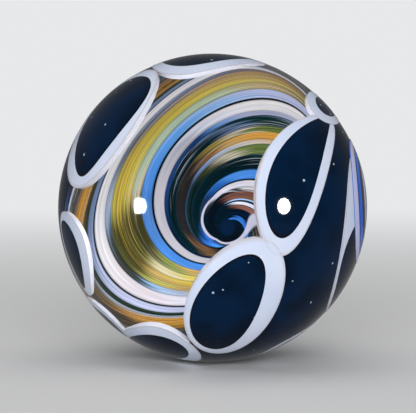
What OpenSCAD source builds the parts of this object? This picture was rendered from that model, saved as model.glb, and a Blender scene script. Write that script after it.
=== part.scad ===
// Glass marble with a twisted vortex of coloured canes, cased in clear glass and ringed with
// stacked dots. The origin is the centre of the ball, +Z is up as it is displayed, and the
// mouth of the vortex faces -Y and looks a little upward.

/* [Ball] */
// Diameter of the marble
marble_d = 44; // [42:1:60]

/* [Vortex] */
// Upward tilt of the line through the middle of the mouth
mouth_tilt = 11.7; // [0:0.1:40]
// Height of the mouth's measuring level over the centre of the ball
mouth_level = 15.4; // [14:0.1:17]
// Half width of the mouth across its narrow way, at that level
mouth_half = 14.6; // [12:0.1:16]
// Half width of the mouth along its long way, at that level
mouth_long = 31; // [24:0.5:36]
// Turn of the long way, anticlockwise seen from the front
mouth_turn = 62; // [0:1:90]
// Turn of the long way at the tip
tip_turn = 48; // [0:1:90]
// Depth of the tip below the centre of the ball
tip_depth = 16.5; // [12:0.1:17]
// Sideways place of the tip, off the mouth's middle line
tip_side = -2.8; // [-4:0.1:4]
// Height of the tip, off the mouth's middle line
tip_rise = 1.1; // [-3:0.1:3]
// Radius of the small closed end of the vortex
tip_r = 0.6; // [0.5:0.05:1.5]
// Power of the bowl's curve, 0.5 is a paraboloid
bowl_curve = 0.4; // [0.35:0.01:0.55]

/* [Canes] */
// Thickness of the layer of canes
cane_t = 1.2; // [0.8:0.1:1.6]
// Glass between the ends of the canes and the undersides of the dots
cane_cover = 0.2; // [0.1:0.1:1]
// Twist for each time the depth grows by e, near the tip
spiral_twist = 54; // [20:1:80]
// Twist that gathers with the square of the depth, nearer the mouth
sweep_twist = 750; // [300:10:1000]
// Twist of the last stretch, from the even rings to the rim
rim_twist = 120; // [60:5:160]

/* [Dots] */
// Depth of the white glass of a dot
white_depth = 1.5; // [1.2:0.1:2]
// Depth of the navy glass laid on the white
navy_depth = 0.9; // [0.4:0.1:1.1]
// Depth of the striped glass in the side window
window_depth = 1.2; // [0.6:0.1:2]
// Width of one crescent in the side window, at its broad side
window_step = 2; // [1.2:0.1:2.4]

/* [Hidden] */
$fn = 96;
ball_r = marble_d / 2;
rim_r = ball_r - white_depth - cane_cover;

white_c = [0.86, 0.87, 0.92];
black_c = [0.02, 0.02, 0.03];
navy_c = [0.01, 0.04, 0.11];
sky_c = [0.30, 0.52, 0.90];
lilac_c = [0.66, 0.68, 0.88];
cobalt_c = [0.08, 0.20, 0.50];
teal_c = [0.02, 0.12, 0.13];
gold_c = [0.66, 0.52, 0.14];

// Canes in order round the vortex: name, share of the turn in degrees, colour
CANES = [
    ["black_line_1", 3, black_c],
    ["white_cane_1", 23, white_c],
    ["slate_cane", 12, [0.36, 0.45, 0.56]],
    ["amber_cane_1", 10, [0.60, 0.42, 0.12]],
    ["gold_cane", 14, gold_c],
    ["olive_cane", 14, [0.62, 0.60, 0.18]],
    ["pale_green_cane", 18, [0.60, 0.68, 0.52]],
    ["sky_cane_1", 20, sky_c],
    ["black_line_2", 4, black_c],
    ["white_cane_2", 21, white_c],
    ["cobalt_cane", 8, cobalt_c],
    ["teal_cane_1", 19, teal_c],
    ["brown_cane", 10, [0.24, 0.19, 0.14]],
    ["orange_cane", 12, [0.85, 0.48, 0.12]],
    ["lilac_cane_1", 8, lilac_c],
    ["moss_cane", 18, [0.36, 0.40, 0.16]],
    ["teal_cane_2", 30, teal_c],
    ["sky_cane_2", 22, sky_c],
    ["black_line_3", 4, black_c],
    ["white_cane_3", 19, white_c],
    ["rust_cane", 14, [0.28, 0.14, 0.10]],
    ["navy_cane", 14, navy_c],
    ["amber_cane_2", 15, [0.75, 0.48, 0.14]],
    ["mint_line", 6, [0.66, 0.80, 0.80]],
    ["green_cane", 8, [0.05, 0.16, 0.10]],
    ["lilac_cane_2", 14, lilac_c]
];

// Stacked dots: name, azimuth, elevation and turn; the white outline's half length, half
// width, taper and bend; the navy outline's place along and across, its turn on the white,
// half length, half width, taper and bend. All but the tapers are in degrees of arc on the
// skin, so that the dots keep their places on a marble of any size
DOTS = [
    ["right_dot", 47.5, 18, 52.5, [30.2, 12.5, -0.32, -8.1], [2.6, 0, -2, 28.1, 8.3, -0.58, -6.3]],
    ["low_dot", 22.3, -34.8, 76.7, [27.1, 16.4, 0.07, -2.6], [-1, 2.3, 0, 22.7, 11.5, 0, -3.1]],
    ["upper_left_dot", -45, 36, 94, [26.3, 19.8, 0.05, 0.5], [-0.5, -1, 0, 22.1, 15.6, 0.3, 0]],
    ["top_dot", 4.5, 78, 3, [20.8, 17.2, -0.5, 5.7], [-0.5, 3.6, 0, 16.9, 14.1, -0.5, 4.7]],
    ["upper_right_dot", 85, 41, 8, [14.3, 7.8, 0, 0], [1.8, 0, 0, 9.6, 4.7, 0, 0]],
    ["left_dot", -50, -16, 96, [16.1, 10.4, 0.35, 4.2], [0, 2.1, 0, 13, 6.8, 0.4, 3.6]],
    ["bottom_dot", -39, -63.5, 13, [22.4, 14.6, 0.2, 4.2], [0, 1, 0, 18.2, 9.9, 0.25, 0.8]],
    ["lower_left_dot", -64, -46, 20, [13.5, 11.5, 0, 0], [-0.8, -0.8, 0, 10.4, 8.6, 0, 0]],
    ["side_dot", 93, -10, 100, [30.7, 23.4, 0, 0], [-9.4, 4.4, 0, 19, 16.1, 0.3, 0]],
    ["under_dot", 98, -59.5, 20, [14.6, 12, 0, 0], [0.8, -0.8, 0, 11.5, 9.4, 0, 0]],
    ["back_dot_1", 150, 22, 120, [19.5, 13.5, 0, 0], [0, 0, 0, 15.6, 9.9, 0, 0]],
    ["back_dot_2", 165, -35, 60, [19.5, 13.5, 0, 0], [0, 0, 0, 15.6, 9.9, 0, 0]],
    ["back_dot_3", -110, 8, 90, [19.5, 13.5, 0, 0], [0, 0, 0, 15.6, 9.9, 0, 0]]
];

// Side window: place, turn and outline, as for a dot's white outline
WINDOW = ["side_window", 97, 3, 95, [23.2, 20.8, 0, 0]];
CRESCENTS = [
    ["window_lilac", lilac_c],
    ["window_blue", sky_c],
    ["window_brown", [0.24, 0.19, 0.14]],
    ["window_white", white_c],
    ["window_cobalt", cobalt_c]
];

// ---- The bowl of the vortex ----

columns = 40;
even_rings = 21;
rim_rings = 5;
last_ring = even_rings + rim_rings;
even_level = 0.45;
bowl_depth = mouth_level + tip_depth;
tip_level = pow(tip_r / mouth_half, 1 / bowl_curve);

// Rings lie at equal steps of radius, from the tip to the last even ring
function ring_level(i) =
    let (r0 = pow(tip_level, bowl_curve), r1 = pow(even_level, bowl_curve))
    pow(r0 + (r1 - r0) * i / even_rings, 1 / bowl_curve);

function half_width(level) = mouth_half * pow(level, bowl_curve);

// Lean of the bowl's wall from the mouth's middle line
function wall_lean(level) = atan(bowl_curve * half_width(level) / (level * bowl_depth));

// A point of the bowl, or of a surface laid outside it by the distance out
function bowl_point(level, angle, out) =
    let (
        lean = wall_lean(level),
        stretch = 1 + (mouth_long / mouth_half - 1) * level,
        turn = mouth_turn + (tip_turn - mouth_turn) * (1 - level),
        across = half_width(level),
        side = out * cos(lean),
        a = (across * stretch + side) * cos(angle - turn),
        b = (across + side) * sin(angle - turn),
        x = a * cos(turn) - b * sin(turn) + tip_side * (1 - min(level, 1)),
        y = a * sin(turn) + b * cos(turn) + tip_rise * (1 - min(level, 1)),
        z = level * bowl_depth - tip_depth - out * sin(lean)
    )
    [x, y, z];

// Level at which the bowl comes out to the rim's radius, found by halving
function rim_level(angle, out, low = even_level, high = 2, n = 24) =
    n == 0 ? low :
    let (mid = (low + high) / 2)
    norm(bowl_point(mid, angle, out)) < rim_r
        ? rim_level(angle, out, mid, high, n - 1)
        : rim_level(angle, out, low, mid, n - 1);

function even_twist(level) = -spiral_twist * ln(level + tip_level) - sweep_twist * pow(level, 2);

function ring_twist(i) =
    i <= even_rings ? even_twist(ring_level(i))
                    : even_twist(even_level) - rim_twist * (i - even_rings) / rim_rings;

// A point of the twisted grid: its ring, its start angle and its distance outside the bowl
function grid_point(i, start, out) =
    let (angle = start + ring_twist(i))
    i <= even_rings
        ? bowl_point(ring_level(i), angle, out)
        : let (share = (i - even_rings) / rim_rings)
          bowl_point(even_level + (rim_level(angle, out) - even_level) * share, angle, out);

// ---- Canes ----

first_angle = 148;
total_share = cane_end(len(CANES) - 1);
function cane_end(k) = k < 0 ? 0 : cane_end(k - 1) + CANES[k][1];

// Columns of the grid that one cane spans, and their start angles
function cane_steps(k) = max(1, round(CANES[k][1] * columns / 360));
function cane_angles(k) =
    let (a0 = cane_end(k - 1) * 360 / total_share, a1 = cane_end(k) * 360 / total_share)
    [for (j = [0 : cane_steps(k)]) first_angle - (a0 + (a1 - a0) * j / cane_steps(k))];

// All start angles once round, without the last, which is the first again
ring_angles = [for (k = [0 : len(CANES) - 1]) for (j = [0 : cane_steps(k) - 1]) cane_angles(k)[j]];

// Triangles between rows of m points each; the steps from "flip" on have their diagonals
// the other way, so that two pieces with a shared wall have the same triangles there
function row_faces(rows, m, flip) = [
    for (i = [0 : rows - 2]) for (j = [0 : m - 1])
        let (p = i * m + j, q = i * m + (j + 1) % m, p2 = p + m, q2 = q + m)
        for (f = j < flip ? [[p, q2, q], [p, p2, q2]] : [[p, p2, q], [q, p2, q2]]) f
];

// One cane: rows of points inside and then outside the bowl's wall, and two end faces
module cane_solid(k) {
    angles = cane_angles(k);
    c = len(angles);
    m = 2 * c;
    rows = [for (i = [0 : last_ring]) concat(
        [for (a = angles) grid_point(i, a, 0)],
        [for (j = [c - 1 : -1 : 0]) grid_point(i, angles[j], cane_t)]
    )];
    top = last_ring * m;
    tip_faces = [for (j = [0 : c - 2])
        for (f = [[j, j + 1, m - 2 - j], [j, m - 2 - j, m - 1 - j]]) f];
    rim_faces = [for (j = [0 : c - 2])
        for (f = [[m - 1 - j, m - 2 - j, j + 1], [m - 1 - j, j + 1, j]]) [for (v = f) top + v]];
    polyhedron([for (r = rows) for (p = r) p],
        concat(row_faces(last_ring + 1, m, c), tip_faces, rim_faces), convexity = 12);
}

module cane(k) {
    color(CANES[k][2]) to_mouth() cane_solid(k);
}

module to_mouth() {
    rotate([90 - mouth_tilt, 0, 0]) children();
}

// ---- The ball: clear glass in the bowl and opaque glass behind it ----

// The bowl's space goes on outward past the rim, and its apex lies in front of the skin; both
// are shares of the rim's and the ball's radius
reach = 1.8;
apex_reach = 2.7;

// The bowl's space, out past the skin; "rows" runs from the closed tip to the rim
module bowl_space(rows) {
    m = len(ring_angles);
    all_rows = concat(rows, [[for (p = rows[len(rows) - 1]) p * reach]]);
    n = len(all_rows);
    apex = [0, 0, apex_reach * ball_r];
    polyhedron(concat([for (r = all_rows) for (p = r) p], [apex]),
        concat(
            [for (f = row_faces(n, m, m)) [f[2], f[1], f[0]]],
            [[for (j = [m - 1 : -1 : 0]) j]],
            [for (j = [0 : m - 1]) [(n - 1) * m + (j + 1) % m, n * m, (n - 1) * m + j]]
        ), convexity = 12);
}

function grid_row(i, out) = [for (a = ring_angles) grid_point(i, a, out)];
inner_rows = [for (i = [0 : last_ring]) grid_row(i, 0)];
outer_rows = concat(
    [grid_row(0, 0)],
    [for (i = [0 : last_ring]) grid_row(i, cane_t)],
    [grid_row(last_ring, 0)]
);

module clear_lens() {
    color([0.85, 0.92, 0.95, 0.35]) difference() {
        intersection() {
            sphere(r = ball_r);
            to_mouth() bowl_space(inner_rows);
        }
        all_pockets();
    }
}

module backing() {
    color(navy_c) difference() {
        sphere(r = ball_r);
        to_mouth() bowl_space(outer_rows);
        all_pockets();
    }
}

// ---- Stacked dots and the side window ----

// Degrees between two points of an outline
outline_step = 10;
// How far the tools that cut the skin stand out of it
skin_over = 1;
// Share of a window step by which each crescent moves to its narrow side
edge_share = 0.7;

// Length on the skin of an arc in degrees
function arc(degrees) = ball_r * degrees * PI / 180;

// An egg that may bend sideways, in the plane that touches the ball: its half length, half
// width, taper and bend, the first two made smaller by the length "less"
function egg(outline, less = 0) = [
    for (s = [0 : outline_step : 359])
        let (length = arc(outline[0]) - less, width = arc(outline[1]) - less)
        [
            length * cos(s),
            width * sin(s) * (1 + outline[2] * cos(s)) + arc(outline[3]) * pow(cos(s), 2)
        ]
];

module column(points) {
    linear_extrude(ball_r + skin_over) polygon(points);
}

// From the centre of the ball out to a place on its skin
module facing(d) {
    rotate([90 - d[2], 0, d[1]]) rotate([0, 0, d[3]]) children();
}

module white_column(d) {
    facing(d) column(egg(d[4]));
}

module navy_column(d) {
    navy = d[5];
    facing(d) translate([arc(navy[0]), arc(navy[1]), 0]) rotate([0, 0, navy[2]])
        column(egg([navy[3], navy[4], navy[5], navy[6]]));
}

// A space cut down into the skin to a depth, open above it
module pocket(depth) {
    difference() {
        children();
        sphere(r = ball_r - depth);
    }
}

// The glass that fills such a pocket flush with the skin
module inlay(depth) {
    intersection() {
        sphere(r = ball_r);
        pocket(depth) children();
    }
}

module all_pockets() {
    for (d = DOTS) pocket(white_depth) white_column(d);
    pocket(window_depth) window_column(0);
}

function outward(d) = [sin(d[1]) * cos(d[2]), -cos(d[1]) * cos(d[2]), sin(d[2])];

// Two dots can meet when their centres are nearer than their half lengths together
function may_meet(d, e) = acos(outward(d) * outward(e)) < d[4][0] + e[4][0];

// A dot gives way to the dots that were laid after it, and to the side window
module later_columns(k) {
    for (j = [k + 1 : 1 : len(DOTS) - 1])
        if (may_meet(DOTS[k], DOTS[j])) white_column(DOTS[j]);
    if (may_meet(DOTS[k], WINDOW)) window_column(0);
}

module dot_white(k) {
    color(white_c) difference() {
        inlay(white_depth) white_column(DOTS[k]);
        pocket(navy_depth) navy_column(DOTS[k]);
        later_columns(k);
    }
}

module dot_navy(k) {
    color(navy_c) difference() {
        intersection() {
            inlay(navy_depth) navy_column(DOTS[k]);
            white_column(DOTS[k]);
        }
        later_columns(k);
    }
}

// The window's outline after k crescents have been taken off its broad side
module window_column(k) {
    cut = k * window_step / 2;
    facing(WINDOW) translate([0, -cut * edge_share, 0]) column(egg(WINDOW[4], cut));
}

module window_crescent(k) {
    color(CRESCENTS[k][1]) difference() {
        inlay(window_depth) window_column(k);
        if (k < len(CRESCENTS) - 1) window_column(k + 1);
    }
}

backing();
clear_lens();
for (k = [0 : len(CANES) - 1])
    cane(k);
for (k = [0 : len(DOTS) - 1]) {
    dot_white(k);
    dot_navy(k);
}
for (k = [0 : len(CRESCENTS) - 1])
    window_crescent(k);
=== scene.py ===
"""A handmade glass marble: coloured canes twisted into a deep vortex under a clear lens,
dark glass behind them, and stacked dots of white and navy glass let in round the mouth."""

import math

import bpy
from mathutils import Matrix, Vector


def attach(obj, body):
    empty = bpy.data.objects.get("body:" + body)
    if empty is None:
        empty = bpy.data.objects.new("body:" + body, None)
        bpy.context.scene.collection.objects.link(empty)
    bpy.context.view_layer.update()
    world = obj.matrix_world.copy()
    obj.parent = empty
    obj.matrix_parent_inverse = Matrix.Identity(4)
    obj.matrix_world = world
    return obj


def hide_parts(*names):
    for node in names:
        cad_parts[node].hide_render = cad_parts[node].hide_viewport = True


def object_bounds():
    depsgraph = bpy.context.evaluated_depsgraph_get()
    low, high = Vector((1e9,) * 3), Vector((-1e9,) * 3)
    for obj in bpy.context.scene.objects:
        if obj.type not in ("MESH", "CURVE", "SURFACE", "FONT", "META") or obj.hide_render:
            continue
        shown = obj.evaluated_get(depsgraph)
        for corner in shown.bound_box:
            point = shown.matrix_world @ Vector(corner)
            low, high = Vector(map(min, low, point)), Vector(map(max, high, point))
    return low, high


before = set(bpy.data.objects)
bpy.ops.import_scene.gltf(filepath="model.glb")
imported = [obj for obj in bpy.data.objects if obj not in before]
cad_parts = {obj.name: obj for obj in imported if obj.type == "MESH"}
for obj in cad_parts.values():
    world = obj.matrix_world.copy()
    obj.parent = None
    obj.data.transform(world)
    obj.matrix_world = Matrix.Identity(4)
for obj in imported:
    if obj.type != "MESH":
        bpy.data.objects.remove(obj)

cad_low, cad_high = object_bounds()
bpy.ops.object.select_all(action="DESELECT")

MM = 0.001

# ---- Sizes in millimetres, the same as the solids are made to ----

BALL_R = (cad_high[2] - cad_low[2]) / 2 / MM

# The bowl: its mouth is an oval that tilts and turns, its tip lies deep and off the middle
MOUTH_TILT = 11.7
MOUTH_LEVEL = 15.4
MOUTH_HALF = 14.6
MOUTH_LONG = 31
MOUTH_TURN = 62
TIP_TURN = 48
TIP_DEPTH = 16.5
TIP_SIDE = -2.8
TIP_RISE = 1.1
TIP_R = 0.6
BOWL_CURVE = 0.4

# The canes: their wall, the glass between their rims and the dots, and their twist in degrees
CANE_T = 1.2
CANE_COVER = 0.2
SPIRAL_TWIST = 54
SWEEP_TWIST = 750
RIM_TWIST = 120
FIRST_ANGLE = 148

# Depths of the dots and of the side window, whose crescents step in and crowd to one side
WHITE_DEPTH = 1.5
NAVY_DEPTH = 0.9
WINDOW_DEPTH = 1.2
WINDOW_STEP = 2
EDGE_SHARE = 0.7

# Fine surfaces lie on each other by these small steps, so that none shares a place
SKIN_SUNK = 0.02
LENS_SUNK = 0.15
BOWL_SUNK = 0.04
DOT_PROUD = 0.02
LAYER_STEP = 0.012

# Rings round the bowl are counted from the tip: even ones, then those that climb to the rim
EVEN_RINGS = 21
LAST_RING = 26
EVEN_LEVEL = 0.45
RIM_R = BALL_R - WHITE_DEPTH - CANE_COVER
BOWL_DEPTH = MOUTH_LEVEL + TIP_DEPTH
TIP_LEVEL = (TIP_R / MOUTH_HALF) ** (1 / BOWL_CURVE)

# The rim's level is halved out between the last even ring and a level beyond the rim
BEYOND_RIM = 2
HALVINGS = 20

# Canes in order round the vortex: name and share of the turn in degrees
CANES = [
    ("black_line_1", 3),
    ("white_cane_1", 23),
    ("slate_cane", 12),
    ("amber_cane_1", 10),
    ("gold_cane", 14),
    ("olive_cane", 14),
    ("pale_green_cane", 18),
    ("sky_cane_1", 20),
    ("black_line_2", 4),
    ("white_cane_2", 21),
    ("cobalt_cane", 8),
    ("teal_cane_1", 19),
    ("brown_cane", 10),
    ("orange_cane", 12),
    ("lilac_cane_1", 8),
    ("moss_cane", 18),
    ("teal_cane_2", 30),
    ("sky_cane_2", 22),
    ("black_line_3", 4),
    ("white_cane_3", 19),
    ("rust_cane", 14),
    ("navy_cane", 14),
    ("amber_cane_2", 15),
    ("mint_line", 6),
    ("green_cane", 8),
    ("lilac_cane_2", 14),
]

# Stacked dots: name, azimuth, elevation and turn; the white outline's half length, half
# width, taper and bend; the navy outline's place along and across, its turn on the white,
# half length, half width, taper and bend. All but the tapers are in degrees of arc
DOTS = [
    ("right_dot", 47.5, 18, 52.5, (30.2, 12.5, -0.32, -8.1), (2.6, 0, -2, 28.1, 8.3, -0.58, -6.3)),
    ("low_dot", 22.3, -34.8, 76.7, (27.1, 16.4, 0.07, -2.6), (-1, 2.3, 0, 22.7, 11.5, 0, -3.1)),
    ("upper_left_dot", -45, 36, 94, (26.3, 19.8, 0.05, 0.5), (-0.5, -1, 0, 22.1, 15.6, 0.3, 0)),
    ("top_dot", 4.5, 78, 3, (20.8, 17.2, -0.5, 5.7), (-0.5, 3.6, 0, 16.9, 14.1, -0.5, 4.7)),
    ("upper_right_dot", 85, 41, 8, (14.3, 7.8, 0, 0), (1.8, 0, 0, 9.6, 4.7, 0, 0)),
    ("left_dot", -50, -16, 96, (16.1, 10.4, 0.35, 4.2), (0, 2.1, 0, 13, 6.8, 0.4, 3.6)),
    ("bottom_dot", -39, -63.5, 13, (22.4, 14.6, 0.2, 4.2), (0, 1, 0, 18.2, 9.9, 0.25, 0.8)),
    ("lower_left_dot", -64, -46, 20, (13.5, 11.5, 0, 0), (-0.8, -0.8, 0, 10.4, 8.6, 0, 0)),
    ("side_dot", 93, -10, 100, (30.7, 23.4, 0, 0), (-9.4, 4.4, 0, 19, 16.1, 0.3, 0)),
    ("under_dot", 98, -59.5, 20, (14.6, 12, 0, 0), (0.8, -0.8, 0, 11.5, 9.4, 0, 0)),
    ("back_dot_1", 150, 22, 120, (19.5, 13.5, 0, 0), (0, 0, 0, 15.6, 9.9, 0, 0)),
    ("back_dot_2", 165, -35, 60, (19.5, 13.5, 0, 0), (0, 0, 0, 15.6, 9.9, 0, 0)),
    ("back_dot_3", -110, 8, 90, (19.5, 13.5, 0, 0), (0, 0, 0, 15.6, 9.9, 0, 0)),
]

# Side window: azimuth, elevation and turn, and its outline; crescents from the broad side in
WINDOW = (97, 3, 95, (23.2, 20.8, 0, 0))
WINDOW_LAYER = 6
CRESCENTS = ["window_lilac", "window_blue", "window_brown", "window_white", "window_cobalt"]


# ---- The bowl of the vortex ----


def ring_level(i):
    """Level of an even ring: the rings lie at equal steps of the bowl's radius."""
    r0, r1 = TIP_LEVEL**BOWL_CURVE, EVEN_LEVEL**BOWL_CURVE
    return (r0 + (r1 - r0) * i / EVEN_RINGS) ** (1 / BOWL_CURVE)


def half_width(level):
    return MOUTH_HALF * level**BOWL_CURVE


def bowl_point(level, angle, out):
    """A point of the bowl, or of a surface laid outside it by the distance out."""
    width = half_width(level)
    lean = math.atan(BOWL_CURVE * width / (level * BOWL_DEPTH))
    stretch = 1 + (MOUTH_LONG / MOUTH_HALF - 1) * level
    turn = math.radians(MOUTH_TURN + (TIP_TURN - MOUTH_TURN) * (1 - level))
    side = out * math.cos(lean)
    off = math.radians(angle) - turn
    a = (width * stretch + side) * math.cos(off)
    b = (width + side) * math.sin(off)
    drift = 1 - min(level, 1)
    return Vector((
        a * math.cos(turn) - b * math.sin(turn) + TIP_SIDE * drift,
        a * math.sin(turn) + b * math.cos(turn) + TIP_RISE * drift,
        level * BOWL_DEPTH - TIP_DEPTH - out * math.sin(lean),
    ))


def rim_level(angle, out):
    """Level at which the bowl comes out to the rim's radius, found by halving."""
    low, high = EVEN_LEVEL, BEYOND_RIM
    for _ in range(HALVINGS):
        mid = (low + high) / 2
        if bowl_point(mid, angle, out).length < RIM_R:
            low = mid
        else:
            high = mid
    return low


def twist(i):
    """Turn of the canes at a ring, in degrees."""
    level = ring_level(min(i, EVEN_RINGS))
    even = -SPIRAL_TWIST * math.log(level + TIP_LEVEL) - SWEEP_TWIST * level**2
    return even - RIM_TWIST * max(0, i - EVEN_RINGS) / (LAST_RING - EVEN_RINGS)


def rim_levels(out):
    """The rim's level at every whole degree round the bowl, and the first one again."""
    return [rim_level(angle, out) for angle in range(360)] + [rim_level(0, out)]


def ring_point(i, angle, out, rim):
    """A point of ring i, which needn't be whole, at an angle round the bowl."""
    if i <= EVEN_RINGS:
        return bowl_point(ring_level(i), angle, out)
    share = (i - EVEN_RINGS) / (LAST_RING - EVEN_RINGS)
    whole = math.floor(angle % 360)
    top = rim[whole] + (rim[whole + 1] - rim[whole]) * (angle % 360 - whole)
    return bowl_point(EVEN_LEVEL + (top - EVEN_LEVEL) * share, angle, out)


TO_MOUTH = Matrix.Rotation(math.radians(90 - MOUTH_TILT), 3, "X")


# ---- Helpers for the pieces ----

SHARP_EDGE = 40  # degrees


def dress(piece, name, slot, material, *nodes):
    """Names a finished piece, gives it its glass and sets it on the body."""
    piece.name = name
    piece.data.name = name
    piece.data.materials.clear()
    piece.data.materials.append(material)
    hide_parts(*nodes)
    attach(piece, "root")
    piece.select_set(False)


def finish_skin(piece):
    """Turns the faces outward and shades them smooth up to a sharp edge."""
    bpy.ops.object.mode_set(mode="EDIT")
    bpy.ops.mesh.select_all(action="SELECT")
    bpy.ops.mesh.normals_make_consistent(inside=False)
    bpy.ops.object.mode_set(mode="OBJECT")
    bpy.ops.object.shade_smooth_by_angle(angle=math.radians(SHARP_EDGE))


# ---- Canes ----

CANE_ROWS = 260
CANE_COLUMN = 2.5  # degrees of the turn
CANE_RIM = rim_levels(0)


def make_cane(name, start, share, material, slot):
    """One cane: a strip twisted along the bowl's wall, then thickened outwards."""
    columns = max(2, round(share / CANE_COLUMN))
    bpy.ops.mesh.primitive_grid_add(x_subdivisions=columns, y_subdivisions=CANE_ROWS, size=1)
    cane = bpy.context.object
    strands = []
    for v in cane.data.vertices:
        ring = (v.co.y + 0.5) * LAST_RING
        across = v.co.x + 0.5
        angle = FIRST_ANGLE - start - share * across + twist(ring)
        v.co = TO_MOUTH @ ring_point(ring, angle, 0, CANE_RIM) * MM
        strands.append((start + share * across, ring, across))
    strand = cane.data.attributes.new("strand", "FLOAT_VECTOR", "POINT")
    for item, place in zip(strand.data, strands):
        item.vector = place
    wall = cane.modifiers.new("wall", "SOLIDIFY")
    wall.thickness = CANE_T * MM
    wall.offset = -1 if cane_faces_in(cane) else 1
    bpy.ops.object.modifier_apply(modifier=wall.name)
    finish_skin(cane)
    dress(cane, name + "_glass", slot, material, name)


def cane_faces_in(cane):
    """True where the strip's faces look into the bowl."""
    face = cane.data.polygons[len(cane.data.polygons) // 2]
    return face.normal.dot(TO_MOUTH @ Vector((TIP_SIDE, TIP_RISE, 0)) * MM - face.center) > 0


# ---- The lens and the backing ----

BOWL_SEGMENTS = 240
BOWL_BANDS = 200
CAP_BANDS = 60


def rounded_body(rows_in_bowl, rows_on_skin, out, skin_r, pole):
    """A ball with a bowl in one side, drawn out of a sphere: its lower rows line the bowl, one
    row makes the rim's wall and the rest lie on the skin, out to the pole."""
    rows = rows_in_bowl + rows_on_skin
    bpy.ops.mesh.primitive_uv_sphere_add(segments=BOWL_SEGMENTS, ring_count=rows, radius=1)
    body = bpy.context.object
    rim = rim_levels(out)
    rims = {}
    for v in body.data.vertices:
        row = round((math.pi - math.acos(max(-1, min(1, v.co.z)))) / math.pi * rows)
        angle = math.degrees(math.atan2(v.co.y, v.co.x))
        key = round(angle * BOWL_SEGMENTS / 360) % BOWL_SEGMENTS
        if key not in rims:
            rims[key] = ring_point(LAST_RING, angle, out, rim).normalized()
        if row == 0:
            place = bowl_point(TIP_LEVEL, 0, out)
            place.x, place.y = TIP_SIDE, TIP_RISE
        elif row <= rows_in_bowl:
            place = ring_point((row - 1) / (rows_in_bowl - 1) * LAST_RING, angle, out, rim)
        else:
            share = (row - rows_in_bowl - 1) / (rows_on_skin - 1)
            place = rims[key].slerp(pole, share) * skin_r
        v.co = TO_MOUTH @ place * MM
    finish_skin(body)
    return body


def make_lens(material):
    mouth = Vector((0, 0, 1))
    lens = rounded_body(BOWL_BANDS, CAP_BANDS, LENS_SUNK, BALL_R, mouth)
    dress(lens, "lens", "clear_glass", material, "clear_lens")


def make_backing(material):
    behind = Vector((0, 0, -1))
    backing = rounded_body(BOWL_BANDS, CAP_BANDS * 2, BOWL_SUNK, BALL_R - SKIN_SUNK, behind)
    dress(backing, "backing_glass", "navy_glass", material, "backing")


# ---- Stacked dots and the side window ----

OUTLINE_POINTS = 120
PLATE_RINGS = 20
MIDDLE_SHARE = 0.01  # of a plate's last ring, before it is closed to a point


def facing(azimuth, elevation, turn):
    """From the centre of the ball out to a place on its skin."""
    return (
        Matrix.Rotation(math.radians(azimuth), 3, "Z")
        @ Matrix.Rotation(math.radians(90 - elevation), 3, "X")
        @ Matrix.Rotation(math.radians(turn), 3, "Z")
    )


def arc(degrees):
    """Length on the skin of an arc in degrees."""
    return BALL_R * math.radians(degrees)


def egg_point(angle, outline, less=0):
    """A point of an egg that may bend sideways."""
    length, width, taper, bend = outline
    x = (arc(length) - less) * math.cos(angle)
    y = (arc(width) - less) * math.sin(angle) * (1 + taper * math.cos(angle))
    return x, y + arc(bend) * math.cos(angle) ** 2


def make_plate(point_at, place, top_r, depth):
    """A drop of glass pressed into the skin: a ring is drawn to its outline, filled with rings
    towards its middle, laid on the ball and thickened inwards."""
    bpy.ops.mesh.primitive_circle_add(vertices=OUTLINE_POINTS, radius=1)
    plate = bpy.context.object
    bpy.ops.object.mode_set(mode="EDIT")
    bpy.ops.mesh.select_all(action="SELECT")
    for ring in range(PLATE_RINGS, 0, -1):
        bpy.ops.mesh.extrude_edges_move()
        shrink = (ring - 1) / ring if ring > 1 else MIDDLE_SHARE
        bpy.ops.transform.resize(value=(shrink, shrink, 1), center_override=(0, 0, 0))
    bpy.ops.mesh.merge(type="CENTER")
    bpy.ops.object.mode_set(mode="OBJECT")
    shares = []
    for v in plate.data.vertices:
        share = math.hypot(v.co.x, v.co.y)
        shares.append(share)
        x, y = point_at(math.atan2(v.co.y, v.co.x))
        x, y = x * share, y * share
        v.co = place @ Vector((x, y, math.sqrt(top_r**2 - x**2 - y**2))) * MM
    plate.data.attributes.new("share", "FLOAT", "POINT").data.foreach_set("value", shares)
    middle = plate.data.polygons[0]
    body = plate.modifiers.new("depth", "SOLIDIFY")
    body.thickness = depth * MM
    body.offset = -1 if middle.normal.dot(middle.center) > 0 else 1
    bpy.ops.object.modifier_apply(modifier=body.name)
    finish_skin(plate)
    return plate


def may_meet(d, e):
    """Two dots can meet when their centres are nearer than their half lengths together."""
    apart = facing(*d[1:4]).col[2].angle(facing(*e[1:4]).col[2])
    return math.degrees(apart) < d[4][0] + e[4][0]


def layer(k):
    """How many dots deep a dot lies on those laid before it."""
    under = [layer(j) for j in range(k) if may_meet(DOTS[k], DOTS[j])]
    return max(under) + 1 if under else 0


def make_dot(k, white, navy):
    """A white dot with a navy dot on it; each dot lies a little over the ones before it."""
    name, azimuth, elevation, turn, outline, inner = DOTS[k]
    place = facing(azimuth, elevation, turn)
    top_r = BALL_R + DOT_PROUD + LAYER_STEP * 2 * layer(k)
    disc = make_plate(lambda a: egg_point(a, outline), place, top_r, WHITE_DEPTH)
    dress(disc, name + "_disc", "white_glass", white, name + "_white")
    along, across, own_turn, *navy_outline = inner
    spin = Matrix.Rotation(math.radians(own_turn), 2)

    def navy_point(a):
        x, y = spin @ Vector(egg_point(a, navy_outline))
        return x + arc(along), y + arc(across)

    eye = make_plate(navy_point, place, top_r + LAYER_STEP, NAVY_DEPTH)
    dress(eye, name + "_eye", "navy_glass", navy, name + "_navy")


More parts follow.
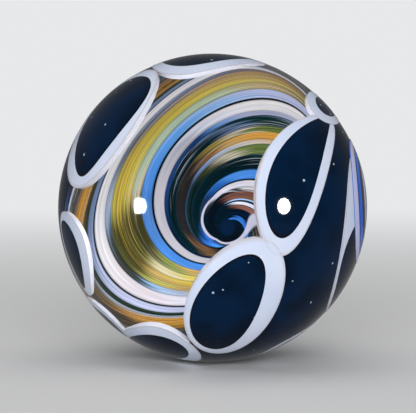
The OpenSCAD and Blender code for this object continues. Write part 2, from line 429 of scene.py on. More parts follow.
def make_crescent(k, material, slot):
    """One crescent of the side window; the next one lies over its middle."""
    azimuth, elevation, turn, outline = WINDOW
    less = k * WINDOW_STEP / 2
    place = facing(azimuth, elevation, turn)
    top_r = BALL_R + DOT_PROUD + LAYER_STEP * (WINDOW_LAYER + k)

    def point_at(a):
        x, y = egg_point(a, outline, less)
        return x, y - less * EDGE_SHARE

    plate = make_plate(point_at, place, top_r, WINDOW_DEPTH)
    dress(plate, CRESCENTS[k] + "_glass", slot, material, CRESCENTS[k])


# ---- Glass ----

# Glass tones of the canes; the darker and greyer ones also serve as painted shade in CANE_TONES
TONES = {
    "black": (0.001, 0.003, 0.006),
    "dark_teal": (0.0005, 0.006, 0.01),
    "dark_navy": (0.001, 0.008, 0.03),
    "deep_green": (0.002, 0.028, 0.024),
    "dark_green": (0.01, 0.035, 0.02),
    "dark_olive": (0.06, 0.055, 0.012),
    "dark_brown": (0.018, 0.014, 0.011),
    "brown": (0.20, 0.10, 0.04),
    "rust": (0.22, 0.085, 0.06),
    "amber": (0.66, 0.34, 0.04),
    "orange": (0.95, 0.46, 0.06),
    "tan": (0.64, 0.42, 0.15),
    "gold": (0.74, 0.55, 0.07),
    "yellow_green": (0.66, 0.69, 0.14),
    "olive": (0.34, 0.28, 0.04),
    "moss": (0.20, 0.29, 0.06),
    "mint": (0.56, 0.78, 0.62),
    "beige": (0.8, 0.7, 0.56),
    "slate": (0.06, 0.09, 0.13),
    "slate_blue": (0.16, 0.24, 0.42),
    "cobalt": (0.008, 0.045, 0.18),
    "strong_blue": (0.016, 0.10, 0.38),
    "bright_blue": (0.08, 0.29, 0.80),
    "deep_sky": (0.03, 0.15, 0.55),
    "sky": (0.17, 0.45, 0.98),
    "pale_sky": (0.40, 0.64, 0.98),
    "lilac": (0.62, 0.66, 0.92),
    "lilac_grey": (0.45, 0.50, 0.60),
    "grey": (0.50, 0.52, 0.60),
    "white": (0.94, 0.92, 0.95),
    "pink_white": (0.88, 0.80, 0.87),
    "pale_rose": (0.68, 0.66, 0.74),
    "rose_grey": (0.50, 0.48, 0.53),
    "blue_white": (0.80, 0.82, 0.96),
}

# The tones along each cane, from the tip to the rim, each with the ring where it is pure. The
# dark stops of bright canes near the tip are painted shade of the deep eye
CANE_TONES = {
    "black_line": [(0, "black"), (26, "black")],
    "white_cane_1": [
        (1.5, "dark_teal"), (2.4, "rust"), (4, "rust"), (10.5, "blue_white"),
        (12.3, "pink_white"), (13.6, "pink_white"), (15, "white"), (18, "white"),
        (20.5, "lilac_grey"),
    ],
    "slate_cane": [
        (1.5, "dark_teal"), (3, "dark_navy"), (9.5, "grey"), (11.3, "pale_sky"), (12.2, "slate"),
        (13.4, "slate"), (14.4, "pale_sky"), (15.3, "lilac_grey"), (16.3, "dark_olive"),
        (17.5, "slate_blue"), (19, "brown"),
    ],
    "amber_cane_1": [
        (1.5, "dark_teal"), (3, "dark_navy"), (9.3, "tan"), (11, "yellow_green"),
        (14, "yellow_green"), (15.6, "gold"), (16.7, "slate_blue"), (17.8, "tan"),
        (19.2, "brown"),
    ],
    "gold_cane": [
        (3, "dark_navy"), (8.5, "gold"), (10.3, "tan"), (13, "gold"), (16, "gold"), (17.8, "tan"),
        (19.2, "brown"),
    ],
    "olive_cane": [
        (3, "dark_teal"), (7.5, "gold"), (9.4, "beige"), (10.8, "olive"), (12.8, "tan"),
        (14, "gold"), (16.5, "gold"), (18, "tan"), (19.2, "dark_olive"),
    ],
    "pale_green_cane": [
        (0.5, "dark_teal"), (1.2, "deep_sky"), (1.8, "cobalt"), (3, "dark_teal"), (6.8, "tan"),
        (8.3, "moss"), (9.5, "dark_olive"), (11.2, "dark_olive"), (12.2, "beige"), (13.4, "mint"),
        (15.8, "mint"), (17.2, "tan"), (18.5, "dark_olive"),
    ],
    "sky_cane_1": [
        (2.5, "deep_sky"), (5.5, "bright_blue"), (11.5, "bright_blue"), (13.5, "sky"),
        (15, "pale_sky"), (16.2, "lilac"), (19, "lilac"),
    ],
    # The grey stops of this white cane are painted shade on the bowl's wall
    "white_cane_2": [
        (3, "dark_teal"), (4, "grey"), (5, "rose_grey"), (11, "rose_grey"), (11.9, "grey"),
        (13, "blue_white"), (14.5, "white"), (20, "white"),
    ],
    "cobalt_cane": [
        (3, "dark_navy"), (6.5, "dark_navy"), (9, "cobalt"), (12, "cobalt"), (12.9, "sky"),
        (13.6, "lilac"),
    ],
    "teal_cane_1": [
        (2.6, "black"), (3.5, "brown"), (4.6, "dark_teal"), (10.8, "dark_teal"),
        (12, "slate_blue"), (12.8, "deep_green"), (14, "deep_green"), (16, "slate_blue"),
    ],
    "brown_cane": [
        (2.4, "black"), (3.4, "brown"), (4.2, "brown"), (5.2, "dark_brown"), (9, "dark_brown"),
        (10.6, "olive"), (11.8, "beige"), (12.6, "moss"),
    ],
    "orange_cane": [
        (2.2, "black"), (3.2, "brown"), (4.6, "dark_brown"), (7.8, "dark_brown"), (9.2, "brown"),
        (10.4, "tan"), (11.4, "orange"), (14, "orange"),
    ],
    "lilac_cane_1": [
        (6.9, "dark_teal"), (8.2, "slate_blue"), (9.3, "lilac_grey"), (10.8, "beige"),
        (13, "orange"),
    ],
    "moss_cane": [
        (1.4, "black"), (1.9, "bright_blue"), (2.5, "deep_sky"), (3.4, "dark_teal"),
        (6.6, "dark_teal"), (7.7, "dark_olive"), (8.8, "beige"), (9.8, "moss"), (11.5, "moss"),
        (12.5, "lilac_grey"),
    ],
    "teal_cane_2": [
        (1.4, "black"), (1.8, "deep_sky"), (2.1, "deep_sky"), (2.6, "cobalt"), (3.3, "dark_teal"),
        (8.5, "dark_teal"), (10.5, "deep_green"), (17, "dark_green"), (19, "dark_olive"),
    ],
    "sky_cane_2": [
        (1.5, "black"), (2.2, "dark_navy"), (3.9, "dark_navy"), (4.9, "strong_blue"),
        (6, "bright_blue"), (7.5, "bright_blue"), (9, "cobalt"), (17, "dark_olive"),
    ],
    "white_cane_3": [
        (3.2, "dark_teal"), (3.7, "grey"), (4.3, "pale_rose"), (8, "pale_rose"), (13, "tan"),
        (16, "dark_olive"), (19, "brown"),
    ],
    # The dark brown and olive stops near rings 16 to 17.5, here and in the next two canes, are a
    # painted shadow under the left dot
    "rust_cane": [
        (3.9, "black"), (4.4, "dark_brown"), (4.9, "white"), (7, "white"), (9, "dark_brown"),
        (13, "amber"), (15, "amber"), (16.2, "dark_brown"), (17.2, "dark_olive"), (18.6, "amber"),
        (20, "amber"), (21.5, "dark_brown"),
    ],
    "navy_cane": [
        (2.7, "black"), (3.5, "rust"), (5, "rust"), (8, "dark_brown"), (12, "amber"),
        (15.1, "amber"), (15.8, "dark_brown"), (17.3, "dark_brown"), (18.4, "orange"),
        (19.5, "amber"), (21, "dark_brown"),
    ],
    "amber_cane_2": [
        (2.4, "black"), (3.2, "rust"), (5, "brown"), (10, "amber"), (15.1, "orange"),
        (15.7, "dark_olive"), (17.3, "dark_brown"), (18, "orange"), (19, "amber"),
        (21, "dark_brown"),
    ],
    "mint_line": [
        (2.2, "dark_teal"), (3, "pale_sky"), (8, "lilac_grey"), (15, "lilac_grey"),
        (17, "dark_olive"),
    ],
    "green_cane": [(3, "dark_navy"), (8, "dark_teal"), (15, "dark_green"), (17, "dark_olive")],
    "lilac_cane_2": [
        (2, "dark_teal"), (2.7, "blue_white"), (8, "lilac"), (14.8, "lilac"),
        (16.3, "slate_blue"), (19, "slate_blue"), (21, "black"),
    ],
}

# Tone of the fine streaks and of the flecks, partly painted glints, in each kind of cane, and
# how much of the streaks, of the flecks and of the band of painted shade shows
STREAKS = {
    "white": ("lilac_grey", "white", 0.25, 0, 0),
    "black": ("cobalt", "slate", 0, 0, 0),
    "slate": ("slate_blue", "white", 0.6, 0.6, 0.9),
    "amber": ("brown", "beige", 0.7, 0.5, 0.95),
    "gold": ("olive", "beige", 0.75, 0.5, 0.95),
    "olive": ("yellow_green", "beige", 0.7, 0.7, 0.95),
    "pale_green": ("olive", "white", 0.6, 0.5, 0.9),
    "sky": ("deep_sky", "blue_white", 0.35, 0.2, 0.3),
    "cobalt": ("dark_navy", "slate_blue", 0.35, 0.15, 0),
    # The teal canes' blue-white flecks are painted glints
    "teal": ("deep_green", "blue_white", 0.6, 0.55, 0),
    "brown": ("dark_brown", "tan", 0.6, 0.3, 0),
    "orange": ("dark_brown", "beige", 0.5, 0.4, 0),
    "lilac": ("slate_blue", "white", 0.35, 0.2, 0),
    "moss": ("dark_green", "beige", 0.7, 0.5, 0),
    "rust": ("dark_brown", "tan", 0.7, 0.3, 0),
    "navy": ("dark_brown", "tan", 0.5, 0.2, 0),
    "mint": ("slate", "white", 0.5, 0.3, 0),
    "green": ("dark_teal", "moss", 0.5, 0.2, 0),
}

# Polished glass of the skin: main tone, tone of the clouds in it, tone of its outline, and
# the share of the way out from the middle at which the outline begins
SKIN_GLASS = {
    "white": ((0.64, 0.70, 0.84), (0.58, 0.65, 0.82), (0.55, 0.55, 0.62), 0.94),
    "navy": ((0.0004, 0.006, 0.018), (0.001, 0.012, 0.04), (0.006, 0.004, 0.003), 0.94),
    "lilac": ((0.60, 0.60, 0.86), (0.54, 0.57, 0.86), (0.07, 0.17, 0.62), 0.97),
    "sky": ((0.04, 0.24, 0.95), (0.02, 0.14, 0.80), (0.012, 0.008, 0.010), 0.9),
    "brown": ((0.03, 0.022, 0.02), (0.05, 0.03, 0.02), (0.01, 0.01, 0.01), 0.94),
    "cobalt": ((0.02, 0.10, 0.55), (0.02, 0.06, 0.35), (0.01, 0.03, 0.2), 0.94),
}

# How little the polished glass mirrors, seen straight on, so that its dark tones stay deep
GLOSS_LEVEL = 0.15

CANE_ROUGHNESS = 0.6
SKIN_ROUGHNESS = 0.04
SKIN_IOR = 1.5
LENS_IOR = 1.47
LENS_TINT = (0.97, 0.985, 0.99, 1)
NAVY_SEEDS = 0.8


def new_material(name):
    """A material, its nodes, its links and its main shader."""
    material = bpy.data.materials.new(name)
    material.use_nodes = True
    nodes = material.node_tree.nodes
    return material, nodes, material.node_tree.links, nodes["Principled BSDF"]


class Group:
    """A shader node group with named sockets, built node by node."""

    def __init__(self, name, inputs, outputs):
        self.tree = bpy.data.node_groups.new(name, "ShaderNodeTree")
        for socket, kind in inputs.items():
            self.tree.interface.new_socket(name=socket, in_out="INPUT", socket_type=kind)
        for socket, kind in outputs.items():
            self.tree.interface.new_socket(name=socket, in_out="OUTPUT", socket_type=kind)
        self.given = self.tree.nodes.new("NodeGroupInput").outputs
        self.result = self.tree.nodes.new("NodeGroupOutput").inputs

    def node(self, kind, inputs=(), **settings):
        made = self.tree.nodes.new("ShaderNode" + kind)
        for key, value in settings.items():
            setattr(made, key, value)
        for key, value in dict(inputs).items():
            self.feed(value, made.inputs[key])
        return made

    def feed(self, value, socket):
        if isinstance(value, bpy.types.NodeSocket):
            self.tree.links.new(value, socket)
        else:
            socket.default_value = value

    def math(self, operation, a, b=0.5):
        return self.node("Math", {0: a, 1: b}, operation=operation).outputs[0]

    def mix(self, share, a, b):
        made = self.node("Mix", data_type="RGBA")
        self.feed(share, made.inputs["Factor"])
        self.feed(a, made.inputs[6])
        self.feed(b, made.inputs[7])
        return made.outputs[2]

    def ramp(self, value, start, end):
        """Eases from 0 at the start to 1 at the end, which may be the smaller one."""
        inputs = {"Value": value, "From Min": start, "From Max": end}
        made = self.node("MapRange", inputs, interpolation_type="SMOOTHSTEP")
        return made.outputs["Result"]


# Noise on the canes: its scale across and along them, its detail and its shift
UNEVEN_NOISE = (0.55, 0.12, 2, 0)
FRAY_NOISE = (0.5, 0.2, 2, 31)
GAP_NOISE = (0.9, 0.15, 3, 57)
SHADE_NOISE = (0.12, 0.35, 1, 43)

# Streaks, lines and flecks, the flecks partly painted glints: their noise, the levels of it
# between which they come in, and the rings between which they come in, so that the eye stays plain
EYE_RINGS = (2.4, 3.8)
FLECK_GLINT_RINGS = (7, 8.5)
STREAKY_MASKS = {
    "Streak": ((0.65, 0.1, 3, 7), (0.44, 0.62), EYE_RINGS),
    "Line": ((1.5, 0.1, 2, 11), (0.52, 0.68), EYE_RINGS),
    "Fleck Glint": ((0.8, 0.25, 1, 19), (0.6, 0.7), FLECK_GLINT_RINGS),
}

# How uneven the tones run, as a share of the ring; where the soft shading comes in; and the
# darker edge, by its distance from the cane's middle
UNEVENNESS = 0.36
SHADE_LEVELS = (0.35, 0.65)
EDGE_ZONE = (0.36, 0.5)

# A band of painted shade runs across the canes: the ring where it crosses the start of the
# turn, how much it falls for each degree, half its width and its core's, how far it frays,
# and the levels of noise between which it has gaps
TRAIL_RING = 14.7
TRAIL_FALL = 0.047
TRAIL_HALF = 1.8
TRAIL_CORE = TRAIL_HALF * 0.4
TRAIL_FRAY = 2
TRAIL_GAPS = (0.5, 0.75)

# The pale collar on the near side of the eye lies where the ring times the shifted degrees
# reach this; farther round it keeps to one ring, and at last it turns up as a bent thread
COLLAR_SHIFT = 66
COLLAR_REACH = 275
COLLAR_LEVEL = 262
COLLAR_INSIDE = (0.96, 1.02)
COLLAR_OUTSIDE = (1.32, 1.22)
COLLAR_TOP = (3.6, 3.3)
COLLAR_END = (COLLAR_LEVEL, COLLAR_LEVEL - 8)
THREAD_PLACE = 251
THREAD_RING = 2.3
THREAD_BEND = 12
THREAD_WIDTH = (10, 6)
THREAD_START = (1, 1.3)
THREAD_END = (4.5, 4)

# Masks over the canes; one is a band of painted shade, and the flecks are partly painted glints
CANE_MASKS = ("Shade", "Streak", "Line", "Fleck Glint", "Edge", "Shade Band", "Collar")


def cane_place_group():
    """Where a spot lies on its cane: the share of the way from tip to rim, a little uneven so
    that one tone runs into the next in long streaks, and the masks of what lies over them."""
    outputs = {name: "NodeSocketFloat" for name in ("Along", *CANE_MASKS)}
    g = Group("cane_place", {}, outputs)
    strand = g.node("Attribute", attribute_name="strand").outputs["Vector"]
    parts = g.node("SeparateXYZ", {0: strand}).outputs
    degrees, ring, across = parts[0], parts[1], parts[2]

    def drawn(across_scale, along_scale, detail, shift):
        size = (across_scale, along_scale, 0)
        place = g.node("VectorMath", {0: strand, 1: size}, operation="MULTIPLY").outputs[0]
        place = g.node("VectorMath", {0: place, 1: (shift, 0, shift)}).outputs[0]
        return g.node("TexNoise", {"Vector": place, "Scale": 1, "Detail": detail}).outputs["Fac"]

    uneven = g.math("SUBTRACT", drawn(*UNEVEN_NOISE), 0.5)
    uneven = g.math("MULTIPLY", uneven, UNEVENNESS)
    along = g.math("MULTIPLY", ring, g.math("ADD", uneven, 1))
    g.feed(g.math("DIVIDE", along, LAST_RING), g.result["Along"])
    for mask, (noise, levels, rings) in STREAKY_MASKS.items():
        shown = g.ramp(drawn(*noise), *levels)
        g.feed(g.math("MULTIPLY", shown, g.ramp(ring, *rings)), g.result[mask])

    # A band of painted shade across the canes: it follows a slanting line of rings and degrees,
    # frays, and has gaps
    level = g.math("ADD", ring, g.math("MULTIPLY", degrees, TRAIL_FALL))
    level = g.math("SUBTRACT", level, TRAIL_RING)
    frayed = g.math("MULTIPLY", g.math("SUBTRACT", drawn(*FRAY_NOISE), 0.5), TRAIL_FRAY)
    off = g.math("ABSOLUTE", g.math("ADD", level, frayed), 0)
    band_shade = g.ramp(off, TRAIL_HALF, TRAIL_CORE)
    streaky = g.math("SUBTRACT", 1, g.ramp(drawn(*GAP_NOISE), *TRAIL_GAPS))
    band_shade = g.math("MULTIPLY", band_shade, g.ramp(ring, *EYE_RINGS))
    g.feed(g.math("MULTIPLY", band_shade, streaky), g.result["Shade Band"])

    turned = g.math("MINIMUM", g.math("ADD", degrees, COLLAR_SHIFT), COLLAR_LEVEL)
    reach = g.math("DIVIDE", g.math("MULTIPLY", ring, turned), COLLAR_REACH)
    inside, outside = g.ramp(reach, *COLLAR_INSIDE), g.ramp(reach, *COLLAR_OUTSIDE)
    collar = g.math("MULTIPLY", inside, outside)
    collar = g.math("MULTIPLY", collar, g.ramp(ring, *COLLAR_TOP))
    collar = g.math("MULTIPLY", collar, g.ramp(degrees, *COLLAR_END))
    above = g.math("MAXIMUM", g.math("SUBTRACT", ring, THREAD_RING), 0)
    bend = g.math("MULTIPLY", g.math("POWER", above, 2), THREAD_BEND)
    bend = g.math("ADD", bend, THREAD_PLACE)
    aside = g.math("ABSOLUTE", g.math("SUBTRACT", degrees, bend), 0)
    thread = g.ramp(aside, *THREAD_WIDTH)
    thread = g.math("MULTIPLY", thread, g.ramp(ring, *THREAD_START))
    thread = g.math("MULTIPLY", thread, g.ramp(ring, *THREAD_END))
    g.feed(g.math("MAXIMUM", collar, thread), g.result["Collar"])

    middle = g.math("ABSOLUTE", g.math("SUBTRACT", across, 0.5), 0)
    edge = g.math("MULTIPLY", g.ramp(middle, *EDGE_ZONE), g.ramp(ring, *EYE_RINGS))
    g.feed(edge, g.result["Edge"])
    g.feed(g.ramp(drawn(*SHADE_NOISE), *SHADE_LEVELS), g.result["Shade"])
    return g.tree


# What lies over a cane's tone, by its greatest amount and its tone. Lines show by a share of
# the cane's streaks, and the band of painted shade by an amount of the cane's own
SHADE_AMOUNT = 0.16
LINE_SHARE = 0.75
EDGE_AMOUNT = 0.45
COLLAR_AMOUNT = 0.9
SHADE_TONE = (0, 0.01, 0.03, 1)
LINE_TONE = (0.005, 0.008, 0.008, 1)
EDGE_TONE = (0.005, 0.03, 0.07, 1)
SHADE_BAND_TONE = (0.03, 0.03, 0.008, 1)
COLLAR_TONE = (0.50, 0.50, 0.62, 1)


def drawn_glass_group():
    """Glass drawn out along a cane: its tone, soft shading, fine streaks and lines, flecks that
    are partly painted glints, a darker edge, a band of painted shade, and the collar."""
    inputs = {name: "NodeSocketColor" for name in ("Tone", "Streak", "Fleck Glint")}
    inputs.update({name: "NodeSocketFloat" for name in ("Streaks", "Flecks", "Band Shade Amount")})
    inputs.update({mask + " Mask": "NodeSocketFloat" for mask in CANE_MASKS})
    g = Group("drawn_glass", inputs, {"Color": "NodeSocketColor"})
    given = g.given
    lines = g.math("MULTIPLY", given["Streaks"], LINE_SHARE)
    colour = given["Tone"]
    for mask, amount, over in (
        ("Shade Mask", SHADE_AMOUNT, SHADE_TONE),
        ("Streak Mask", given["Streaks"], given["Streak"]),
        ("Line Mask", lines, LINE_TONE),
        ("Fleck Glint Mask", given["Flecks"], given["Fleck Glint"]),
        ("Edge Mask", EDGE_AMOUNT, EDGE_TONE),
        ("Shade Band Mask", given["Band Shade Amount"], SHADE_BAND_TONE),
        ("Collar Mask", COLLAR_AMOUNT, COLLAR_TONE),
    ):
        colour = g.mix(g.math("MULTIPLY", given[mask], amount), colour, over)
    g.feed(colour, g.result["Color"])
    return g.tree


def cane_glass(name, place_group, glass_group):
    """A cane under the lens: it has no gloss of its own, because the lens lies on it."""
    material, nodes, links, shader = new_material(name + "_glass")
    place = nodes.new("ShaderNodeGroup")
    place.node_tree = place_group
    tones = nodes.new("ShaderNodeValToRGB")
    tones.color_ramp.interpolation = "EASE"
    stops = CANE_TONES["black_line" if name.startswith("black") else name]
    while len(tones.color_ramp.elements) < len(stops):
        tones.color_ramp.elements.new(1)
    for element, (ring, tone) in zip(tones.color_ramp.elements, stops):
        element.position = ring / LAST_RING
        element.color = (*TONES[tone], 1)
    links.new(place.outputs["Along"], tones.inputs["Fac"])
    glass = nodes.new("ShaderNodeGroup")
    glass.node_tree = glass_group
    streak, fleck, *amounts = STREAKS[glass_of(name)]
    glass.inputs["Streak"].default_value = (*TONES[streak], 1)
    glass.inputs["Fleck Glint"].default_value = (*TONES[fleck], 1)
    for socket, amount in zip(("Streaks", "Flecks", "Band Shade Amount"), amounts):
        glass.inputs[socket].default_value = amount
    links.new(tones.outputs["Color"], glass.inputs["Tone"])
    for mask in CANE_MASKS:
        links.new(place.outputs[mask], glass.inputs[mask + " Mask"])
    links.new(glass.outputs["Color"], shader.inputs["Base Color"])
    shader.inputs["Roughness"].default_value = CANE_ROUGHNESS
    shader.inputs["Specular IOR Level"].default_value = 0
    return material


# Clouds and seed bubbles in the pressed glass; the seeds are painted bright, as their glints.
# One cell in a few holds a seed, whose size is a share of the number that picked the cell
CLOUD_SCALE = 130
CLOUD_DETAIL = 2
CLOUD_LEVELS = (0.35, 0.65)
SEED_SCALE = 620
SEED_SIZE = 0.12
SEED_PICK = 0.72
SEED_GLINT_TONE = (0.45, 0.62, 0.75, 1)


def pressed_glass_group():
    """Glass pressed into the skin: soft clouds, seed bubbles painted bright as their glints, and a
    tone along its outline.
    """
    g = Group(
        "pressed_glass",
        {
            "Main": "NodeSocketColor",
            "Cloud": "NodeSocketColor",
            "Outline": "NodeSocketColor",
            "Outline Start": "NodeSocketFloat",
            "Seeds": "NodeSocketFloat",
        },
        {"Color": "NodeSocketColor"},
    )
    place = g.node("TexCoord").outputs["Object"]
    noise = {"Vector": place, "Scale": CLOUD_SCALE, "Detail": CLOUD_DETAIL}
    clouds = g.ramp(g.node("TexNoise", noise).outputs["Fac"], *CLOUD_LEVELS)
    colour = g.mix(clouds, g.given["Main"], g.given["Cloud"])
    share = g.node("Attribute", attribute_name="share").outputs["Fac"]
    colour = g.mix(g.ramp(share, g.given["Outline Start"], 1), colour, g.given["Outline"])
    cells = g.node("TexVoronoi", {"Vector": place, "Scale": SEED_SCALE})
    pick = g.node("SeparateColor", {0: cells.outputs["Color"]}).outputs[0]
    size = g.math("MULTIPLY", pick, SEED_SIZE)
    seed = g.math("LESS_THAN", cells.outputs["Distance"], size)
    seed = g.math("MULTIPLY", seed, g.math("GREATER_THAN", pick, SEED_PICK))
    seed = g.math("MULTIPLY", seed, g.given["Seeds"])
    g.feed(g.mix(seed, colour, SEED_GLINT_TONE), g.result["Color"])
    return g.tree


def opaque_glass(colour, group, seeds=0):
    """Polished opaque glass of the skin, which mirrors only a little."""
    material, nodes, links, shader = new_material(colour + "_opaque_glass")
    pressed = nodes.new("ShaderNodeGroup")
    pressed.node_tree = group
    *tones, outline_start = SKIN_GLASS[colour]
    for socket, tone in zip(("Main", "Cloud", "Outline"), tones):
        pressed.inputs[socket].default_value = (*tone, 1)
    pressed.inputs["Outline Start"].default_value = outline_start
    pressed.inputs["Seeds"].default_value = seeds
    links.new(pressed.outputs["Color"], shader.inputs["Base Color"])
    shader.inputs["Roughness"].default_value = SKIN_ROUGHNESS
    shader.inputs["IOR"].default_value = SKIN_IOR
    shader.inputs["Specular IOR Level"].default_value = GLOSS_LEVEL / 2
    return material


def clear_glass():
    """Clear casing glass; the lamps' light passes through it to the canes."""
    material, nodes, links, shader = new_material("clear_glass")
    shader.inputs["Base Color"].default_value = LENS_TINT
    shader.inputs["Roughness"].default_value = 0
    shader.inputs["IOR"].default_value = LENS_IOR
    shader.inputs["Specular Tint"].default_value = (GLOSS_LEVEL, GLOSS_LEVEL, GLOSS_LEVEL, 1)
    shader.inputs["Transmission Weight"].default_value = 1
    output = nodes["Material Output"]
    path = nodes.new("ShaderNodeLightPath")
    through = nodes.new("ShaderNodeBsdfTransparent")
    mix = nodes.new("ShaderNodeMixShader")
    links.new(path.outputs["Is Shadow Ray"], mix.inputs[0])
    links.new(shader.outputs[0], mix.inputs[1])
    links.new(through.outputs[0], mix.inputs[2])
    links.new(mix.outputs[0], output.inputs["Surface"])
    return material


def glass_of(name):
    """The colour word of a cane's or crescent's name."""
    word = name.removeprefix("window_")
    for ending in ("_cane", "_line"):
        word = word.split(ending)[0]
    return {"blue": "sky"}.get(word, word)


# ---- The marble ----

place_group = cane_place_group()
drawn_group = drawn_glass_group()
pressed_group = pressed_glass_group()
start = 0
for name, share in CANES:
    material = cane_glass(name, place_group, drawn_group)
    make_cane(name, start, share, material, glass_of(name) + "_glass")
    start += share

white_skin = opaque_glass("white", pressed_group)
navy_skin = opaque_glass("navy", pressed_group, seeds=NAVY_SEEDS)
make_backing(navy_skin)
make_lens(clear_glass())
for k in range(len(DOTS)):
    make_dot(k, white_skin, navy_skin)
for k, name in enumerate(CRESCENTS):
    colour = glass_of(name)
    make_crescent(k, opaque_glass(colour, pressed_group), colour + "_glass")

# ---- Studio, in metres and degrees ----

# The paper fades into the background between two distances from the marble, and by a further
# share where the glass mirrors it
FLOOR_R = 4
FLOOR_POINTS = 96
FLOOR_Z = cad_low[2]
FLOOR_FADE = (0.03, 0.45)
FLOOR_FADE_MIRRORED = 0.6
FLOOR_TONE = (0.84, 0.84, 0.84, 1)
FLOOR_ROUGHNESS = 0.8
FLOOR_GLOSS = 0.1

# The camera's shifts are parts of the picture's width
CAMERA_AZIMUTH = 13.5
CAMERA_ELEVATION = 3
CAMERA_DISTANCE = 0.2508
CAMERA_LENS = 151.4
CAMERA_SHIFT = (-4 / 416, 1.5 / 416)
CAMERA_NEAR = 0.01

LAMP_SWING = 52.6
LAMP_DISTANCE = 0.6
LAMP_SIZE = 0.105
LAMP_POWER = 9
FRONT_HEIGHT = 8
FRONT_DISTANCE = 1.0
FRONT_SIZE = 0.7
FRONT_POWER = 12
TOP_DISTANCE = 1.2
TOP_SIZE = 1.2
TOP_POWER = 4

# The light all round, the pale background that the camera sees, and how much of it the
# glass mirrors
WORLD_LEVEL = 0.25
WORLD_TONE = (0.98, 0.99, 1, 1)
PALE = (0.80, 0.81, 0.82, 1)
MIRRORED_SHARE = 0.25


def around(azimuth, elevation, distance):
    """A place seen from the marble's middle; azimuth 0 is in front of it."""
    a, e = math.radians(azimuth), math.radians(elevation)
    return Vector((math.sin(a) * math.cos(e), -math.cos(a) * math.cos(e), math.sin(e))) * distance


def make_floor():
    bpy.ops.mesh.primitive_circle_add(
        vertices=FLOOR_POINTS, radius=FLOOR_R, fill_type="NGON", location=(0, 0, FLOOR_Z)
    )
    floor = bpy.context.object
    floor.name = "floor"
    floor.data.materials.append(floor_paper())


def floor_paper():
    """Pale paper that goes over into the pale background, so that no horizon shows."""
    material, nodes, links, shader = new_material("floor_paper")
    shader.inputs["Base Color"].default_value = FLOOR_TONE
    shader.inputs["Roughness"].default_value = FLOOR_ROUGHNESS
    shader.inputs["Specular IOR Level"].default_value = FLOOR_GLOSS
    place = nodes.new("ShaderNodeTexCoord")
    length = nodes.new("ShaderNodeVectorMath")
    length.operation = "LENGTH"
    links.new(place.outputs["Object"], length.inputs[0])
    far = nodes.new("ShaderNodeMapRange")
    far.interpolation_type = "SMOOTHSTEP"
    far.inputs["From Min"].default_value = FLOOR_FADE[0]
    far.inputs["From Max"].default_value = FLOOR_FADE[1]
    links.new(length.outputs["Value"], far.inputs["Value"])
    path = nodes.new("ShaderNodeLightPath")
    mirrored = nodes.new("ShaderNodeMath")
    mirrored.operation = "MULTIPLY_ADD"
    links.new(path.outputs["Is Glossy Ray"], mirrored.inputs[0])
    mirrored.inputs[1].default_value = FLOOR_FADE_MIRRORED
    links.new(far.outputs["Result"], mirrored.inputs[2])
    mirrored.use_clamp = True
    mix = nodes.new("ShaderNodeMixShader")
    links.new(mirrored.outputs[0], mix.inputs[0])
    links.new(shader.outputs[0], mix.inputs[1])
    links.new(surroundings(nodes, links, "Emission"), mix.inputs[2])
    links.new(mix.outputs[0], nodes["Material Output"].inputs["Surface"])
    return material


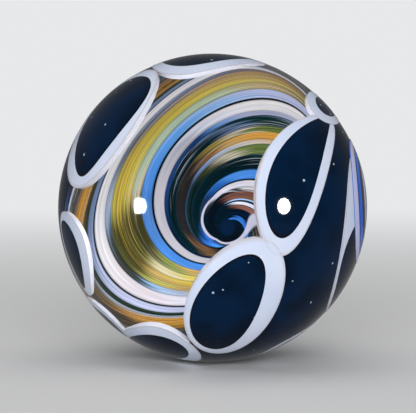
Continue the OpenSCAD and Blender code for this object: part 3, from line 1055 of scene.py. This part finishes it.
def surroundings(nodes, links, kind):
    """The plain light of the studio, which the camera sees as a pale background."""
    soft = nodes.new("ShaderNode" + kind)
    soft.inputs["Color"].default_value = WORLD_TONE
    soft.inputs["Strength"].default_value = WORLD_LEVEL
    seen = nodes.new("ShaderNode" + kind)
    seen.inputs["Color"].default_value = PALE
    path = nodes.new("ShaderNodeLightPath")

    def math_of(operation, a, b):
        made = nodes.new("ShaderNodeMath")
        made.operation = operation
        for value, socket in zip((a, b), made.inputs):
            if isinstance(value, bpy.types.NodeSocket):
                links.new(value, socket)
            else:
                socket.default_value = value
        return made.outputs[0]

    dimmed = math_of("MULTIPLY", path.outputs["Is Glossy Ray"], 1 - MIRRORED_SHARE)
    links.new(math_of("SUBTRACT", 1, dimmed), seen.inputs["Strength"])
    shown = math_of("MAXIMUM", path.outputs["Is Camera Ray"], path.outputs["Is Glossy Ray"])
    shown = math_of("MAXIMUM", path.outputs["Is Transmission Ray"], shown)
    shown = math_of("MULTIPLY", shown, math_of("LESS_THAN", path.outputs["Diffuse Depth"], 0.5))
    mix = nodes.new("ShaderNodeMixShader")
    links.new(shown, mix.inputs[0])
    links.new(soft.outputs[0], mix.inputs[1])
    links.new(seen.outputs[0], mix.inputs[2])
    return mix.outputs[0]


def make_lamp(name, place, shape, size, power):
    """A lamp that looks at the marble."""
    data = bpy.data.lights.new(name, "AREA")
    data.shape = shape
    data.size = size
    data.energy = power
    lamp = bpy.data.objects.new(name, data)
    bpy.context.scene.collection.objects.link(lamp)
    lamp.location = place
    lamp.rotation_euler = place.to_track_quat("Z", "Y").to_euler()
    return lamp


def make_soft_lamp(name, place, size, power):
    """A wide soft lamp behind a screen, which fills the bowl and isn't mirrored in the glass."""
    lamp = make_lamp(name, place, "SQUARE", size, power)
    lamp.visible_glossy = False
    lamp.visible_camera = False


def make_world():
    world = bpy.data.worlds.new("studio")
    world.use_nodes = True
    bpy.context.scene.world = world
    nodes, links = world.node_tree.nodes, world.node_tree.links
    nodes.remove(nodes["Background"])
    light = surroundings(nodes, links, "Background")
    links.new(light, nodes["World Output"].inputs["Surface"])


def make_camera():
    data = bpy.data.cameras.new("camera")
    camera = bpy.data.objects.new("camera", data)
    bpy.context.scene.collection.objects.link(camera)
    camera.location = around(CAMERA_AZIMUTH, CAMERA_ELEVATION, CAMERA_DISTANCE)
    camera.rotation_euler = camera.location.to_track_quat("Z", "Y").to_euler()
    data.lens = CAMERA_LENS
    data.shift_x, data.shift_y = CAMERA_SHIFT
    data.clip_start = CAMERA_NEAR
    bpy.context.scene.camera = camera


make_floor()
for name, swing in (("left_lamp", -LAMP_SWING), ("right_lamp", LAMP_SWING)):
    place = around(CAMERA_AZIMUTH + swing, CAMERA_ELEVATION, LAMP_DISTANCE)
    lamp = make_lamp(name, place, "DISK", LAMP_SIZE, LAMP_POWER)
    lamp.visible_diffuse = False
    lamp.visible_transmission = False
make_soft_lamp(
    "front_lamp", around(CAMERA_AZIMUTH, FRONT_HEIGHT, FRONT_DISTANCE), FRONT_SIZE, FRONT_POWER
)
make_soft_lamp("top_lamp", Vector((0, 0, TOP_DISTANCE)), TOP_SIZE, TOP_POWER)
make_world()
make_camera()
bpy.context.scene.view_settings.view_transform = "Standard"
